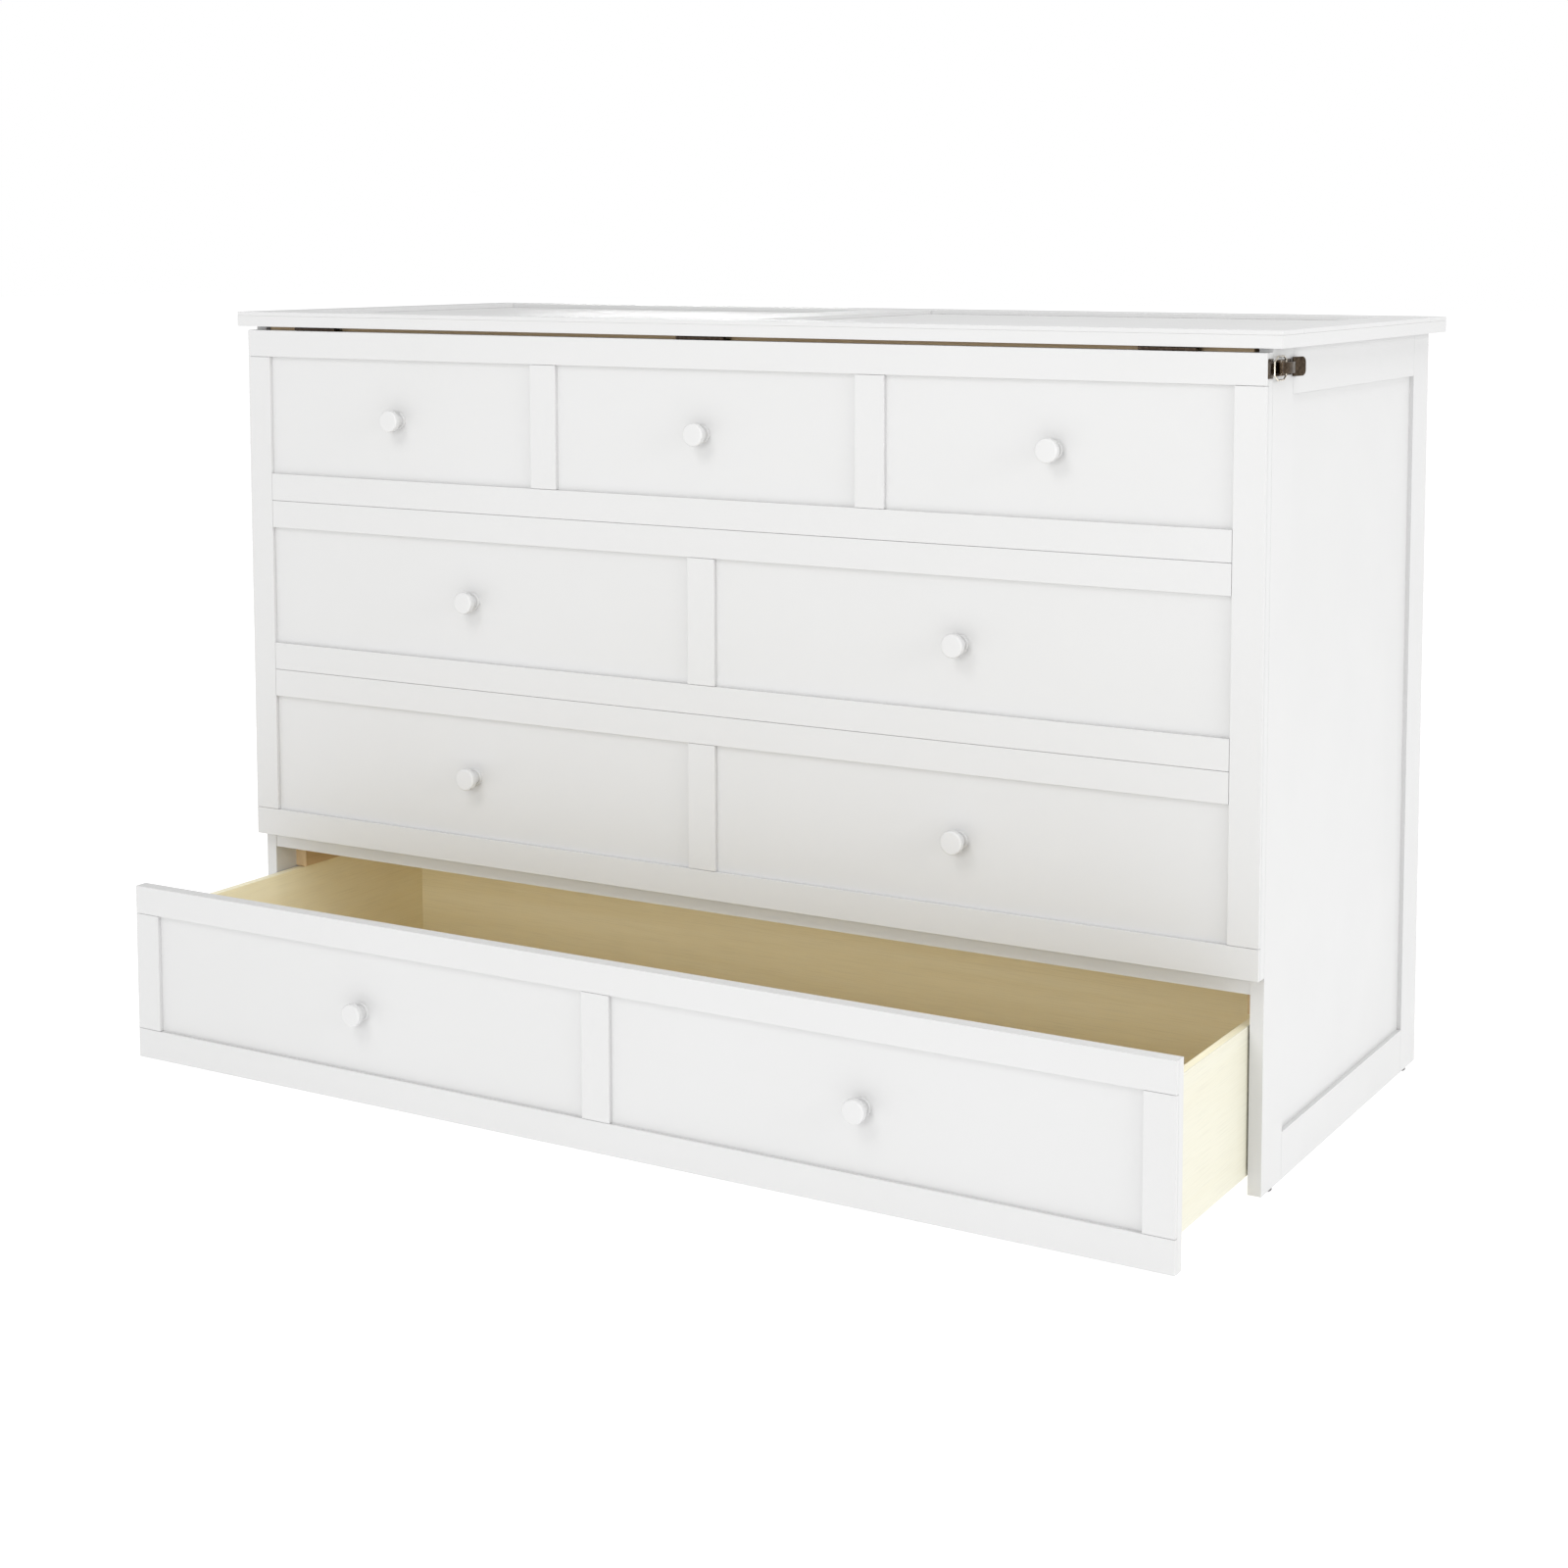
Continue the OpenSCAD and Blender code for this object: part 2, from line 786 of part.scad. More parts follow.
module drawer_bottom() {
  color("wheat") placed() block(
    [-drawer_box_x + drawer_side_t, drawer_y[0], drawer_bottom_z],
    [drawer_box_x - drawer_side_t, drawer_y[1], drawer_bottom_z + drawer_bottom_t]);
}

module drawer_knobs() {
  color("white") placed() drawer_knob_places() knob();
}

module drawer_knob_screws() {
  color("silver") placed() drawer_knob_places() knob_screw();
}

// ---------- casters ----------

module caster_places() {
  for (x = [-caster_x, caster_x]) for (y = [caster_front_y, caster_rear_y])
    translate([x, y, wheel_r]) children();
}

module caster_bracket() {
  inside = wheel_w / 2 + cheek_gap;
  plate_z = drawer_bottom_z - wheel_r;
  difference() {
    union() {
      block([-caster_plate[0] / 2, -caster_plate[1] / 2, plate_z - caster_plate_t],
            [caster_plate[0] / 2, caster_plate[1] / 2, plate_z]);
      both_sides() {
        block([inside, -cheek_r, 0], [inside + cheek_t, cheek_r, plate_z - caster_plate_t + overlap]);
        translate([inside, 0, 0]) rotate([0, 90, 0]) cylinder(r = cheek_r, h = cheek_t);
      }
    }
    rod_x(0, 0, 0, axle_r, caster_plate[0]);
  }
}

module caster_brackets() {
  color("silver") placed() caster_places() caster_bracket();
}

module caster_axles() {
  length = wheel_w + 2 * (cheek_gap + cheek_t + axle_head);
  color("gray") placed() caster_places() rod_x(0, 0, 0, axle_r, length);
}

module caster_wheel(x, y) {
  color("dimgray") placed() translate([x, y, wheel_r]) difference() {
    rod_x(0, 0, 0, wheel_r, wheel_w);
    rod_x(0, 0, 0, axle_r + running, 2 * wheel_w);
    both_sides() translate([wheel_w / 2 - wheel_dish, 0, 0]) rotate([0, 90, 0]) difference() {
      cylinder(r = wheel_r - wheel_rim, h = 2 * wheel_dish);
      translate([0, 0, -overlap]) cylinder(r = axle_r + wheel_rim, h = 3 * wheel_dish);
    }
  }
}

module caster_wheel_front_left() {
  caster_wheel(-caster_x, caster_front_y);
}

module caster_wheel_front_right() {
  caster_wheel(caster_x, caster_front_y);
}

module caster_wheel_rear_left() {
  caster_wheel(-caster_x, caster_rear_y);
}

module caster_wheel_rear_right() {
  caster_wheel(caster_x, caster_rear_y);
}

// ---------- latches ----------
// Drawn on the right side: X outward from the cabinet side, Z from the middle of the latch

module on_right_side() {
  translate([cabinet_w / 2, 0, latch_z]) children();
}

// Screws through a plate of the latch, at places given as [y, z]
module plate_screws(places) {
  for (p = places) translate([latch_plate_t, p[0], p[1]]) rotate([0, 90, 0]) wood_screw();
}

module latch_base_screws() {
  on_right_side() plate_screws(latch_screw_places);
}

module strike_screws() {
  on_right_side() plate_screws(strike_screw_places);
}

module latch_base() {
  difference() {
    union() {
      block([0, latch_y[0], -latch_plate_h / 2], [latch_plate_t, latch_y[1], latch_plate_h / 2]);
      for (s = [0, 1]) mirror([0, 0, s]) {
        block([0, ear_y[0], ear_z[0]], [lever_axis[0], ear_y[1], ear_z[1]]);
        translate([lever_axis[0], lever_axis[1], ear_z[0]])
          cylinder(r = (ear_y[1] - ear_y[0]) / 2, h = ear_z[1] - ear_z[0]);
      }
    }
    translate([lever_axis[0], lever_axis[1], -latch_plate_h])
      cylinder(r = lever_pin_r, h = 2 * latch_plate_h);
    plate_screws(latch_screw_places);
  }
}

module latch_bases() {
  color("#5a4a36") placed() both_sides() on_right_side() latch_base();
}

module latch_pins() {
  color("#8a7a60") placed() both_sides() on_right_side()
    translate([lever_axis[0], lever_axis[1], -ear_z[1] - latch_pin_end])
      cylinder(r = lever_pin_r, h = 2 * (ear_z[1] + latch_pin_end));
}

module lever_profile(skin) {
  intersection() {
    translate([lever_arc_x, (lever_axis[1] + lever_end_y) / 2]) circle(r = lever_arc_r - skin, $fn = 160);
    translate([lever_low_x, lever_axis[1] + skin])
      square([lever_arc_r, lever_end_y - lever_axis[1] - 2 * skin]);
  }
}

module latch_lever() {
  difference() {
    union() {
      translate([0, 0, -lever_w / 2]) linear_extrude(lever_w) {
        lever_profile(0);
        translate(lever_axis) circle(r = lever_knuckle_r);
      }
      translate([tab_start[0], tab_start[1], 0]) rotate([0, 0, -tab_tilt]) rotate([90, 0, 90])
        linear_extrude(lever_skin) {
          translate([0, -tab_h / 2]) square([tab_l - tab_corner, tab_h]);
          translate([0, -tab_h / 2 + tab_corner]) square([tab_l, tab_h - 2 * tab_corner]);
          for (z = [-1, 1]) translate([tab_l - tab_corner, z * (tab_h / 2 - tab_corner)])
            circle(r = tab_corner);
        }
    }
    translate([0, 0, -lever_w / 2 + lever_skin]) linear_extrude(lever_w - 2 * lever_skin)
      difference() {
        translate([-lever_skin, 0]) lever_profile(lever_skin);
        square([lever_end_y, lever_axis[1] + lever_knuckle_r]);
      }
    translate([lever_axis[0], lever_axis[1], -lever_w])
      cylinder(r = lever_pin_r + running, h = 2 * lever_w);
    translate([bail_axis[0], bail_axis[1], -lever_w]) cylinder(r = bail_r + running, h = 2 * lever_w);
  }
}

module latch_lever_left() {
  color("#4a3524") placed() left_side() on_right_side() latch_lever();
}

module latch_lever_right() {
  color("#4a3524") placed() on_right_side() latch_lever();
}

module latch_bail() {
  last = len(bail_path) - 1;
  for (s = [0, 1]) mirror([0, 0, s]) {
    for (i = [0:last - 1]) wire(bail_axis[0], bail_path[i], bail_path[i + 1], bail_r);
    for (i = [1:last]) translate([bail_axis[0], bail_path[i][0], bail_path[i][1]])
      sphere(r = bail_r + bail_bend);
  }
  wire(bail_axis[0], [bail_path[last][0], -bail_path[last][1]], bail_path[last], bail_r);
}

module latch_bail_left() {
  color("#d8cdb8") placed() left_side() on_right_side() latch_bail();
}

module latch_bail_right() {
  color("#d8cdb8") placed() on_right_side() latch_bail();
}

module strike_plate() {
  half = latch_plate_h / 2 + strike_margin;
  difference() {
    union() {
      block([0, strike_y[0], -half], [latch_plate_t, strike_y[1], half]);
      block([0, ridge_y[0], -ridge_w / 2], [ridge_top, ridge_y[1], ridge_w / 2]);
    }
    plate_screws(strike_screw_places);
  }
}

module strike_plates() {
  color("#6a5a44") placed() both_sides() on_right_side() strike_plate();
}

// ---------- the part ----------

left_side_frame();
right_side_frame();
left_side_panel();
right_side_panel();
back_panel();
back_rails();
front_rail();
side_ledgers();
centre_beams();
deck_slats();
floor_glides();
base_hinge_leaves();
base_hinge_pins();
cabinet_screws();
latch_bases();
latch_pins();
mattress_front_section();
mattress_middle_section();
mattress_rear_section();
front_board();
front_rails();
front_stiles();
front_mullions();
front_knobs();
front_knob_screws();
panel_hinge_leaves();
lid_hinge_lower_leaves();
lid_hinge_pins();
front_screws();
strike_plates();
lid_board();
lid_frame();
lid_slats();
lid_hinge_upper_leaves();
leg_hinge_upper_leaves();
leg_hinge_pins();
lid_screws();
leg_board();
leg_hinge_lower_leaves();
leg_screws();
leg_glides();
drawer_front_board();
drawer_front_frame();
drawer_sides();
drawer_box_front();
drawer_back();
drawer_bottom();
drawer_knobs();
drawer_knob_screws();
caster_brackets();
caster_axles();
caster_wheel_front_left();
caster_wheel_front_right();
caster_wheel_rear_left();
caster_wheel_rear_right();
latch_lever_left();
latch_lever_right();
latch_bail_left();
latch_bail_right();
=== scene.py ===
"""Looks of a cabinet murphy bed: painted boards, pale wood, metal fittings and a folded mattress."""

import json
import math

import bmesh
import bpy
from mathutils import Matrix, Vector
from mathutils.kdtree import KDTree


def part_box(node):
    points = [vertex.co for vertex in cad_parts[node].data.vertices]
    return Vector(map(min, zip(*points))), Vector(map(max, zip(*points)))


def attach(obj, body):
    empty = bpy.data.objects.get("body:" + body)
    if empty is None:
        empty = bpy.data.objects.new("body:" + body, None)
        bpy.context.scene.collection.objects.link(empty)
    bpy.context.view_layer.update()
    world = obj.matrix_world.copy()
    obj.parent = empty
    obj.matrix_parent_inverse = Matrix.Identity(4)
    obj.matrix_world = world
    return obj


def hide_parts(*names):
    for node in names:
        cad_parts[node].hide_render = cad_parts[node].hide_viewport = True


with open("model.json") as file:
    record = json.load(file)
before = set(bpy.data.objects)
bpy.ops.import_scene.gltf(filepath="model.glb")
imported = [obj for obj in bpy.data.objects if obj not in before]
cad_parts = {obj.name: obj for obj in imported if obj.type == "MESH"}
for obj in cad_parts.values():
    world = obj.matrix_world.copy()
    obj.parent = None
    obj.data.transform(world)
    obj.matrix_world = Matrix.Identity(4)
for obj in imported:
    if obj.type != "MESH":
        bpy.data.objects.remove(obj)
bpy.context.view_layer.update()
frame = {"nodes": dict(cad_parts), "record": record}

MM = 0.001

# ---------- camera ----------

# Place in metres, turns in degrees, lens in millimetres, shift as a part of the picture's width
CAMERA_PLACE = (1.9142, -3.1531, 1.1962)
CAMERA_YAW = 29.782
CAMERA_PITCH = 5.099
CAMERA_LENS = 59.255
CAMERA_SHIFT = (-0.0361, -0.2)


def add_camera():
    data = bpy.data.cameras.new("camera")
    data.sensor_width = 36
    data.lens = CAMERA_LENS
    data.shift_x, data.shift_y = CAMERA_SHIFT
    camera = bpy.data.objects.new("camera", data)
    camera.location = CAMERA_PLACE
    camera.rotation_euler = (math.radians(90 - CAMERA_PITCH), 0, math.radians(CAMERA_YAW))
    bpy.context.scene.collection.objects.link(camera)
    bpy.context.scene.camera = camera


# ---------- studio ----------

WORLD_STRENGTH = 0.62
FLOOR_HALF_SIZE = 40
FLOOR_TONE = 0.4
FLOOR_GLOW = 0.79
MIDDLE = (0, 0, 0.4)
# Each soft light's place, what it points at, its diameter in metres and its power in watts
LIGHTS = {
    "key": ((5.0, -1.0, 1.9), MIDDLE, 2.4, 74),
    "front": ((0.5, -4.5, 1.5), (0, -0.3, 0.2), 1.6, 50),
    "drawer": ((-0.5, -2.9, 3.3), (0, -0.4, 0.3), 1.6, 30),
    "top": ((1.4, 0.6, 3.8), MIDDLE, 3.0, 52),
    "back": ((-3.0, 4.4, 0.8), MIDDLE, 1.5, 55),
}


def area_light(name, place, target, size, power):
    data = bpy.data.lights.new(name, "AREA")
    data.shape = "DISK"
    data.size = size
    data.energy = power
    light = bpy.data.objects.new(name, data)
    light.location = place
    aim = Vector(target) - Vector(place)
    light.rotation_euler = aim.to_track_quat("-Z", "Y").to_euler()
    bpy.context.scene.collection.objects.link(light)


def add_world():
    """A white backdrop that lights the object with a lower strength than it shows."""
    world = bpy.data.worlds.new("studio")
    world.use_nodes = True
    nodes, links = world.node_tree.nodes, world.node_tree.links
    lit = nodes["Background"]
    lit.inputs["Color"].default_value = (1, 1, 1, 1)
    lit.inputs["Strength"].default_value = WORLD_STRENGTH
    seen = nodes.new("ShaderNodeBackground")
    seen.inputs["Color"].default_value = (1, 1, 1, 1)
    path = nodes.new("ShaderNodeLightPath")
    both = nodes.new("ShaderNodeMixShader")
    links.new(path.outputs["Is Camera Ray"], both.inputs[0])
    links.new(lit.outputs[0], both.inputs[1])
    links.new(seen.outputs[0], both.inputs[2])
    links.new(both.outputs[0], nodes["World Output"].inputs["Surface"])
    bpy.context.scene.world = world


def add_floor():
    """A plain floor that glows a little, so that it shows as white as the backdrop."""
    mesh = bpy.data.meshes.new("floor")
    corners = [(-FLOOR_HALF_SIZE, -FLOOR_HALF_SIZE, 0), (FLOOR_HALF_SIZE, -FLOOR_HALF_SIZE, 0),
               (FLOOR_HALF_SIZE, FLOOR_HALF_SIZE, 0), (-FLOOR_HALF_SIZE, FLOOR_HALF_SIZE, 0)]
    mesh.from_pydata(corners, [], [(0, 1, 2, 3)])
    floor = bpy.data.objects.new("floor", mesh)
    bpy.context.scene.collection.objects.link(floor)
    material, shader = new_material("studio_floor", (FLOOR_TONE, FLOOR_TONE, FLOOR_TONE), 0.7)
    shader.inputs["Emission Color"].default_value = (1, 1, 1, 1)
    shader.inputs["Emission Strength"].default_value = FLOOR_GLOW
    mesh.materials.append(material)


def add_studio():
    scene = bpy.context.scene
    scene.view_settings.view_transform = "Standard"
    scene.cycles.diffuse_bounces = 10
    add_world()
    for name, settings in LIGHTS.items():
        area_light(name, *settings)
    add_floor()


# ---------- materials ----------


def new_material(name, colour, roughness, metallic=0.0):
    """A Principled material with plain values on its sockets, and its shader node."""
    material = bpy.data.materials.new(name)
    material.use_nodes = True
    shader = material.node_tree.nodes["Principled BSDF"]
    shader.inputs["Base Color"].default_value = (*colour, 1)
    shader.inputs["Roughness"].default_value = roughness
    shader.inputs["Metallic"].default_value = metallic
    return material, shader


def add_node(material, kind, links=None, settings=None, **values):
    """A shader node with its settings, socket values and incoming links, all by name."""
    node = material.node_tree.nodes.new(kind)
    for name, value in (settings or {}).items():
        setattr(node, name, value)
    for name, value in values.items():
        node.inputs[name.replace("_", " ")].default_value = value
    for name, source in (links or {}).items():
        material.node_tree.links.new(source, node.inputs[name])
    return node


def place(material, scale=(1, 1, 1)):
    """The object's own coordinates in metres, stretched along each axis."""
    coords = add_node(material, "ShaderNodeTexCoord")
    mapping = add_node(material, "ShaderNodeMapping", {"Vector": coords.outputs["Object"]}, Scale=scale)
    return mapping.outputs["Vector"]


def noise(material, vector, scale, detail=2.0, roughness=0.5, distortion=0.0):
    node = add_node(material, "ShaderNodeTexNoise", {"Vector": vector}, Scale=scale, Detail=detail,
                    Roughness=roughness, Distortion=distortion)
    return node.outputs["Fac"]


def ramp(material, factor, stops):
    """Colours or greys at places from 0 to 1."""
    node = add_node(material, "ShaderNodeValToRGB", {"Fac": factor})
    elements = node.color_ramp.elements
    while len(elements) < len(stops):
        elements.new(0.5)
    for element, (where, colour) in zip(elements, stops):
        element.position = where
        element.color = (*colour, 1) if isinstance(colour, tuple) else (colour, colour, colour, 1)
    return node.outputs["Color"]


def mix(material, factor, a, b, blend="MIX"):
    node = add_node(material, "ShaderNodeMix", settings={"data_type": "RGBA", "blend_type": blend})
    for socket, value in ((node.inputs[0], factor), (node.inputs[6], a), (node.inputs[7], b)):
        if isinstance(value, bpy.types.NodeSocket):
            material.node_tree.links.new(value, socket)
        elif isinstance(value, tuple):
            socket.default_value = (*value, 1)
        else:
            socket.default_value = value
    return node.outputs[2]


def bump(material, height, strength, distance, normal=None):
    links = {"Height": height}
    if normal is not None:
        links["Normal"] = normal
    node = add_node(material, "ShaderNodeBump", links, Strength=strength, Distance=distance)
    return node.outputs["Normal"]


def wire(material, shader, **sources):
    for name, source in sources.items():
        material.node_tree.links.new(source, shader.inputs[name.replace("_", " ")])


def stretch(axis, along, across):
    """A scale that is small along the grain's axis and large across it."""
    return tuple(along if name == axis else across for name in "xyz")


def white_paint(name, axis, tone):
    """Sprayed satin paint over fine grain: faint orange peel, a hint of the wood and soft clouds."""
    material, shader = new_material(name, (tone, tone, tone), 0.4)
    clouds = noise(material, place(material), 2.2, 3.0)
    shade = (tone * 0.985, tone * 0.985, tone * 0.98)
    colour = ramp(material, clouds, [(0.3, shade), (0.7, (tone, tone, tone))])
    grain = noise(material, place(material, stretch(axis, 6, 320)), 1.0, 3.0, 0.6)
    peel = noise(material, place(material), 700, 1.0)
    normal = bump(material, grain, 0.05, 0.0006)
    normal = bump(material, peel, 0.06, 0.0004, normal)
    sheen = ramp(material, noise(material, place(material), 9, 3.0), [(0.3, 0.34), (0.7, 0.44)])
    wire(material, shader, Base_Color=colour, Roughness=sheen, Normal=normal)
    return material


def outer_faces(material, reach):
    """1 where a point lies farther than reach to the left or right of the middle, else 0."""
    sides = add_node(material, "ShaderNodeSeparateXYZ", {0: place(material)})
    distance = add_node(material, "ShaderNodeMath", {0: sides.outputs["X"]}, {"operation": "ABSOLUTE"})
    beyond = add_node(material, "ShaderNodeMath", {0: distance.outputs[0]}, {"operation": "GREATER_THAN"})
    beyond.inputs[1].default_value = reach
    return beyond.outputs[0]


def wood(name, axis, dark, light, roughness, board=None, painted_bounce_reach=None):
    """Straight-grained wood: long figure, fine pores and fibres; board is the width of one board.

    Past the last argument's reach to the left and right (the drawer's outer faces), the wood is paler and
    less yellow. This is painted light: the yellower tone kept on the inner faces stands in for warm light
    bounced inside the drawer.
    """
    material, shader = new_material(name, light, roughness)
    figure = noise(material, place(material, stretch(axis, 0.9, 13)), 1.0, 5.0, 0.62, 1.1)
    rings = noise(material, place(material, stretch(axis, 1.6, 60)), 1.0, 4.0, 0.6, 0.6)
    fibres = noise(material, place(material, stretch(axis, 14, 900)), 1.0, 2.0)
    colour = ramp(material, figure, [(0.28, dark), (0.5, tuple((a + b) / 2 for a, b in zip(dark, light))),
                                     (0.74, light)])
    colour = mix(material, 0.28, colour, ramp(material, rings, [(0.35, dark), (0.65, light)]))
    pores = ramp(material, fibres, [(0.3, 0.86), (0.5, 1.0)])
    colour = mix(material, 0.5, colour, pores, "MULTIPLY")
    if board:
        snapped = add_node(material, "ShaderNodeVectorMath", {0: place(material)}, {"operation": "SNAP"})
        snapped.inputs[1].default_value = (9, board, 9)
        tone = add_node(material, "ShaderNodeTexWhiteNoise", {"Vector": snapped.outputs[0]})
        tone = ramp(material, tone.outputs["Value"], [(0.0, 0.88), (1.0, 1.0)])
        colour = mix(material, 1.0, colour, tone, "MULTIPLY")
    # Painted light: the outer faces are made paler and less yellow, so that only the inner faces keep the
    # yellower tone of painted bounced light
    if painted_bounce_reach:
        colour = mix(material, outer_faces(material, painted_bounce_reach), colour, PAINTED_BOUNCE_OUTER_TINT, "MULTIPLY")
    normal = bump(material, fibres, 0.16, 0.0005)
    normal = bump(material, rings, 0.1, 0.0008, normal)
    gloss = ramp(material, rings, [(0.3, roughness - 0.06), (0.7, roughness + 0.06)])
    wire(material, shader, Base_Color=colour, Roughness=gloss, Normal=normal)
    return material


def metal(name, dark, light, roughness, scale=220):
    """Plated or browned metal: a mottled tone, uneven gloss and fine scratches."""
    material, shader = new_material(name, light, roughness, 1.0)
    mottle = noise(material, place(material), scale, 4.0, 0.6)
    colour = ramp(material, mottle, [(0.3, dark), (0.7, light)])
    gloss = ramp(material, noise(material, place(material), 90, 3.0),
                 [(0.3, roughness - 0.08), (0.7, roughness + 0.1)])
    scratches = noise(material, place(material, (160, 2600, 2600)), 1.0, 1.0)
    normal = bump(material, scratches, 0.05, 0.0002)
    wire(material, shader, Base_Color=colour, Roughness=gloss, Normal=normal)
    return material


def moulded(name, dark, light, roughness, grain):
    """Moulded plastic or rubber with a fine spark-eroded grain."""
    material, shader = new_material(name, light, roughness)
    colour = ramp(material, noise(material, place(material), 60, 3.0), [(0.3, dark), (0.7, light)])
    speckle = noise(material, place(material), grain, 2.0)
    gloss = ramp(material, speckle, [(0.3, roughness - 0.07), (0.7, roughness + 0.07)])
    wire(material, shader, Base_Color=colour, Roughness=gloss, Normal=bump(material, speckle, 0.25, 0.0003))
    return material


def knit(name, dark, light, pitch):
    """Stretch-knit cover: rows of small loops, a soft pile and uneven tone."""
    material, shader = new_material(name, light, 0.85)
    rate = 1 / pitch
    rows = add_node(material, "ShaderNodeTexWave", {"Vector": place(material)},
                    {"bands_direction": "Z"}, Scale=rate / math.tau, Distortion=0.6, Detail=1.0)
    columns = add_node(material, "ShaderNodeTexWave", {"Vector": place(material)},
                       {"bands_direction": "X"}, Scale=rate / math.tau, Distortion=0.6, Detail=1.0)
    loops = mix(material, 0.5, rows.outputs["Color"], columns.outputs["Color"], "MIX")
    fuzz = noise(material, place(material), 2400, 2.0)
    tone = ramp(material, noise(material, place(material), 14, 4.0), [(0.3, dark), (0.7, light)])
    colour = mix(material, 0.12, tone, loops, "MULTIPLY")
    normal = bump(material, loops, 0.25, 0.0006)
    normal = bump(material, fuzz, 0.2, 0.0004, normal)
    shader.inputs["Sheen Weight"].default_value = 0.25
    shader.inputs["Sheen Roughness"].default_value = 0.5
    wire(material, shader, Base_Color=colour, Normal=normal)
    return material


PAINT_TONE = 0.625
KNOB_TONE = PAINT_TONE + 0.01
SLAT_WIDTH = 83 * MM
# What the outer faces of the drawer's sides are multiplied by. This is painted light: only the inner faces
# keep the yellower tone, which stands in for warm light bounced inside the drawer.
PAINTED_BOUNCE_OUTER_TINT = (0.76, 0.79, 0.88)
# The nodes whose grain runs along Z or Y; on all others it runs along X
GRAIN_AXES = {
    "z": ["left_side_frame", "right_side_frame", "left_side_panel", "right_side_panel", "front_stiles",
          "front_mullions"],
    "y": ["side_ledgers", "centre_beams", "drawer_sides"],
}


def grain_axis(node):
    return next((axis for axis, nodes in GRAIN_AXES.items() if node in nodes), "x")


def slot_material(slot, axis):
    """The material of a slot of the record, with its grain along an axis."""
    name = f"{slot}_{axis}"
    if name in bpy.data.materials:
        return bpy.data.materials[name]
    if slot == "white_paint":
        return white_paint(name, axis, PAINT_TONE)
    if slot == "knob_paint":
        return white_paint(name, axis, KNOB_TONE)
    if slot == "pale_wood":
        return wood(name, axis, (0.50, 0.35, 0.19), (0.75, 0.57, 0.35), 0.5, SLAT_WIDTH)
    if slot == "drawer_wood":
        # A golden tone, partly the wood's own and partly painted warm light bounced inside the drawer; the
        # outer faces lose the painted part
        return wood(name, axis, (0.90, 0.83, 0.59), (0.95, 0.90, 0.69), 0.42,
                    painted_bounce_reach=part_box("drawer_sides")[1][0] - 1 * MM)
    if slot == "dark_bronze":
        return metal(name, (0.03, 0.02, 0.014), (0.085, 0.062, 0.045), 0.42)
    if slot == "latch_bronze":
        return metal(name, (0.035, 0.024, 0.015), (0.12, 0.088, 0.06), 0.22)
    if slot == "pale_nickel":
        return metal(name, (0.62, 0.56, 0.46), (0.82, 0.78, 0.70), 0.24)
    if slot == "zinc_steel":
        return metal(name, (0.42, 0.43, 0.44), (0.62, 0.63, 0.64), 0.34, 500)
    if slot == "grey_plastic":
        return moulded(name, (0.05, 0.05, 0.05), (0.075, 0.075, 0.075), 0.5, 1500)
    if slot == "dark_rubber":
        return moulded(name, (0.018, 0.018, 0.018), (0.03, 0.03, 0.03), 0.72, 900)
    return knit(name, (0.74, 0.74, 0.72), (0.84, 0.84, 0.83), 0.0022)


# ---------- finish of the CAD nodes ----------

EDGE_ANGLE = math.radians(32)
FLAT_ANGLE = math.radians(0.5)
# How far the edges of each slot's nodes are rounded; slots not named here keep the edges that they have
EDGE_ROUNDS = {
    "white_paint": 0.6 * MM,
    "pale_wood": 1.5 * MM,
    "drawer_wood": 0.8 * MM,
    "dark_bronze": 0.2 * MM,
    "latch_bronze": 0.25 * MM,
    "zinc_steel": 0.2 * MM,
}


def shading_group():
    """Geometry nodes that join split corners and keep only true edges sharp."""
    group = bpy.data.node_groups.new("clean_shading", "GeometryNodeTree")
    group.interface.new_socket("Geometry", in_out="INPUT", socket_type="NodeSocketGeometry")
    group.interface.new_socket("Geometry", in_out="OUTPUT", socket_type="NodeSocketGeometry")
    nodes, links = group.nodes, group.links
    start = nodes.new("NodeGroupInput")
    merge = nodes.new("GeometryNodeMergeByDistance")
    merge.inputs["Distance"].default_value = 0.002 * MM
    forget = nodes.new("GeometryNodeRemoveAttribute")
    forget.inputs["Name"].default_value = "custom_normal"
    smooth = nodes.new("GeometryNodeSetShadeSmooth")
    smooth.domain = "FACE"
    smooth.inputs["Shade Smooth"].default_value = True
    angle = nodes.new("GeometryNodeInputMeshEdgeAngle")
    blunt = nodes.new("FunctionNodeCompare")
    blunt.operation = "LESS_THAN"
    blunt.inputs["B"].default_value = EDGE_ANGLE
    edges = nodes.new("GeometryNodeSetShadeSmooth")
    edges.domain = "EDGE"
    end = nodes.new("NodeGroupOutput")
    chain = [start, merge, forget, smooth, edges, end]
    for a, b in zip(chain, chain[1:]):
        links.new(a.outputs[0], b.inputs[0])
    links.new(angle.outputs["Unsigned Angle"], blunt.inputs["A"])
    links.new(blunt.outputs["Result"], edges.inputs["Shade Smooth"])
    return group


